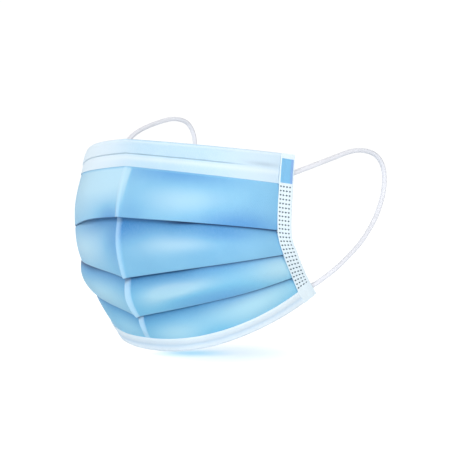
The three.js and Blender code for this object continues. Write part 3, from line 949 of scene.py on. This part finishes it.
def elastic_material():
    """Knitted elastic: columns of small stitches round a soft cord."""
    material, tree, shader = new_tree("knitted_elastic")
    cord_map = add_node(tree, "ShaderNodeUVMap", uv_map="cloth").outputs[0]
    axes = add_node(tree, "ShaderNodeSeparateXYZ", {0: cord_map})
    wale = math_node(tree, "MULTIPLY", axes.outputs[0], float(LOOP_WALES))
    lean = math_node(tree, "ABSOLUTE", math_node(tree, "SUBTRACT", math_node(tree, "FRACT", wale), 0.5))
    course = math_node(tree, "ADD", math_node(tree, "MULTIPLY", axes.outputs[1], 1400.0), lean)
    stitch = math_node(tree, "ABSOLUTE", math_node(tree, "SUBTRACT", math_node(tree, "FRACT", course), 0.5))
    loop = ramp(tree, stitch, 0.05, 0.45, 1.0, 0.0)
    groove = ramp(tree, lean, 0.32, 0.5)
    height = math_node(tree, "SUBTRACT", loop, groove)
    base = blend_colour(tree, groove, colour(236, 235, 239), colour(233, 232, 237))
    base = lay_over(tree, base, loop, 0.4, colour(238, 237, 241))
    shade = add_node(tree, "ShaderNodeAttribute", attribute_name="under_shade").outputs["Fac"]
    # painted shade on the cord's side facing SHADED_WAY
    base = lay_over(tree, base, shade, 0.85, colour(136, 138, 150))
    rough = ramp(tree, loop, 0.0, 1.0, 0.85, 0.7)
    set_cloth(tree, shader, base, rough, height, 0.000012, 0.4)
    return material


# Stage
def make_camera():
    data = bpy.data.cameras.new("camera")
    data.lens = CAMERA_LENS
    camera = bpy.data.objects.new("camera", data)
    camera.location = CAMERA_PLACE
    camera.rotation_euler = (CAMERA_TARGET - CAMERA_PLACE).to_track_quat("-Z", "Y").to_euler()
    bpy.context.scene.collection.objects.link(camera)
    bpy.context.scene.camera = camera


def add_light(name, place, target, size, power):
    data = bpy.data.lights.new(name, "AREA")
    data.size = size
    data.energy = power
    light = bpy.data.objects.new(name, data)
    light.location = place
    light.rotation_euler = (Vector(target) - Vector(place)).to_track_quat("-Z", "Y").to_euler()
    bpy.context.scene.collection.objects.link(light)


def floor_material():
    """A pale floor that the camera sees as white, with a soft blue shadow where the mask touches it."""
    material, tree, shader = new_tree("white_floor")
    place = add_node(tree, "ShaderNodeTexCoord").outputs["Object"]
    lift = (1.0, 1.0, 1.0, 1)
    for centre, half_length, half_width, tint in CONTACT_SHADOWS:
        offset = vector_node(tree, "SUBTRACT", place, centre)
        squares = []
        for direction, half in ((SHADOW_ALONG, half_length), (SHADOW_ACROSS, half_width)):
            away = vector_node(tree, "DOT_PRODUCT", offset, direction / half, output="Value")
            squares.append(math_node(tree, "POWER", math_node(tree, "ABSOLUTE", away), 2.0))
        far = math_node(tree, "SQRT", math_node(tree, "ADD", *squares))
        lift = blend_colour(tree, ramp(tree, far, 0.0, 1.0), tint, lift)
    tree.links.new(lift, shader.inputs["Emission Color"])
    shader.inputs["Emission Strength"].default_value = 1.0
    shader.inputs["Base Color"].default_value = (0.3, 0.3, 0.3, 1)
    shader.inputs["Roughness"].default_value = 0.9
    shader.inputs["Specular IOR Level"].default_value = 0.0
    bounce = add_node(tree, "ShaderNodeBsdfDiffuse", {"Color": (0.74, 0.78, 0.82, 1)})
    seen = add_node(tree, "ShaderNodeLightPath").outputs["Is Camera Ray"]
    either = add_node(tree, "ShaderNodeMixShader", {0: seen, 1: bounce.outputs[0], 2: shader.outputs[0]})
    tree.links.new(either.outputs[0], tree.nodes["Material Output"].inputs[0])
    return material


def make_stage():
    scene = bpy.context.scene
    scene.view_settings.view_transform = "Standard"
    scene.view_settings.look = "None"
    bpy.ops.object.select_all(action="DESELECT")
    bpy.ops.mesh.primitive_plane_add(size=12.0, location=(0, 0, FLOOR_LEVEL))
    floor = bpy.context.object
    floor.name = "floor"
    floor.data.materials.append(floor_material())
    world = bpy.data.worlds.new("studio")
    world.use_nodes = True
    scene.world = world
    tree = world.node_tree
    ambient = tree.nodes["Background"]
    ambient.inputs["Color"].default_value = (0.92, 0.96, 1.0, 1)
    ambient.inputs["Strength"].default_value = 0.45
    backdrop = add_node(tree, "ShaderNodeBackground", {"Color": (1, 1, 1, 1), "Strength": 1.05})
    seen = add_node(tree, "ShaderNodeLightPath").outputs["Is Camera Ray"]
    either = add_node(tree, "ShaderNodeMixShader", {0: seen, 1: ambient.outputs[0], 2: backdrop.outputs[0]})
    tree.links.new(either.outputs[0], tree.nodes["World Output"].inputs[0])
    middle = (0.0, 0.03, -0.045)
    add_light("key_light", (0.35, -0.98, 0.20), middle, 0.4, 4.7)
    add_light("fill_light", (0.98, -0.14, 0.16), middle, 0.8, 4.7)
    add_light("rim_light", (-0.90, -0.40, 0.30), middle, 0.7, 3.0)
    add_light("back_light", (-0.10, 1.10, 0.55), middle, 0.9, 4.5)


# Assembly
make_camera()
make_stage()
elastic = elastic_material()
loops = (
    ("left_elastic", "left_ear_loop", LEFT_LOOP_ROUTE, (2.4, 2.95)),
    ("right_elastic", "right_ear_loop", RIGHT_LOOP_ROUTE, (2.6, 2.95)),
)
for name, node, route, seats in loops:
    loop, path = make_loop(name, route, seats, elastic)
    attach(loop, "root")
    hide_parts(node)

welded_tape = tape_material()
panel = make_panel()
top_band = make_band("nose_band", TOP_EDGE, BAND_EDGE, top_band_profile, top_band_material())
bottom_band = make_band("chin_band", BOTTOM_EDGE, CHIN_EDGE, bottom_band_profile, bottom_band_material())
left_tape = make_tape("left_welded_tape", 1, welded_tape)
right_tape = make_tape("right_welded_tape", -1, welded_tape)
dressing = (
    (panel, "pleated_panel", "panel"),
    (top_band, "top_band", "band"),
    (bottom_band, "bottom_band", "band"),
    (left_tape, "left_side_tape", "tape"),
    (right_tape, "right_side_tape", "tape"),
)
for piece, node, finish in dressing:
    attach(piece, "root")
    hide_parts(node)
